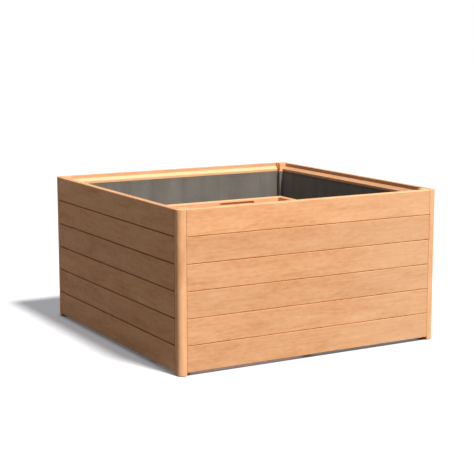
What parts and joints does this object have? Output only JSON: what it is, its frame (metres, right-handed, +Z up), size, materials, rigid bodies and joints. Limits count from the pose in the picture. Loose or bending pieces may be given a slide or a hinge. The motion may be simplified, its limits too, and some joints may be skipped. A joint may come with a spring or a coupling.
{
  "type": "raised garden bed",
  "caption": "Square raised garden bed of horizontal tongue-and-groove boards between round-cornered posts, lined with grey felt, with a boarded dry compartment in one corner.",
  "frame": {"origin": "middle of the footprint, on the ground", "axes": "+Z up; the front wall faces -Y and the left wall faces -X"},
  "size_m": [1.5, 1.5, 0.795],
  "materials": {
    "wall_wood": "planed hardwood boards, oiled, matt",
    "post_wood": "planed hardwood, rounded corner, matt",
    "rail_wood": "planed hardwood, matt",
    "divider_wood": "planed hardwood boards, matt",
    "batten_wood": "sawn hardwood, matt",
    "liner_felt": "needled grey-brown felt",
    "pad_plastic": "black, matt",
    "nail_steel": "stainless, plain"
  },
  "bodies": {
    "root": {"corner_post_front_left": "post_wood", "corner_post_front_right": "post_wood", "corner_post_rear_left": "post_wood", "corner_post_rear_right": "post_wood", "divider_batten_corner": "batten_wood", "divider_batten_front": "batten_wood", "divider_batten_left": "batten_wood", "divider_clamp_long": "rail_wood", "divider_clamp_short": "rail_wood", "divider_long_board_1": "divider_wood", "divider_long_board_2": "divider_wood", "divider_long_board_3": "divider_wood", "divider_long_board_4": "divider_wood", "divider_long_board_5": "divider_wood", "divider_long_board_6": "divider_wood", "divider_nails": "nail_steel", "divider_short_board_1": "divider_wood", "divider_short_board_2": "divider_wood", "divider_short_board_3": "divider_wood", "divider_short_board_4": "divider_wood", "divider_short_board_5": "divider_wood", "divider_short_board_6": "divider_wood", "foot_pad_front_left": "pad_plastic", "foot_pad_front_right": "pad_plastic", "foot_pad_rear_left": "pad_plastic", "foot_pad_rear_right": "pad_plastic", "front_board_1": "wall_wood", "front_board_2": "wall_wood", "front_board_3": "wall_wood", "front_board_4": "wall_wood", "front_board_5": "wall_wood", "front_board_6": "wall_wood", "inner_rail_front": "rail_wood", "inner_rail_left": "rail_wood", "inner_rail_rear": "rail_wood", "inner_rail_right": "rail_wood", "left_board_1": "wall_wood", "left_board_2": "wall_wood", "left_board_3": "wall_wood", "left_board_4": "wall_wood", "left_board_5": "wall_wood", "left_board_6": "wall_wood", "liner": "liner_felt", "rail_nails": "nail_steel", "rear_board_1": "wall_wood", "rear_board_2": "wall_wood", "rear_board_3": "wall_wood", "rear_board_4": "wall_wood", "rear_board_5": "wall_wood", "rear_board_6": "wall_wood", "right_board_1": "wall_wood", "right_board_2": "wall_wood", "right_board_3": "wall_wood", "right_board_4": "wall_wood", "right_board_5": "wall_wood", "right_board_6": "wall_wood"}
  },
  "joints": []
}
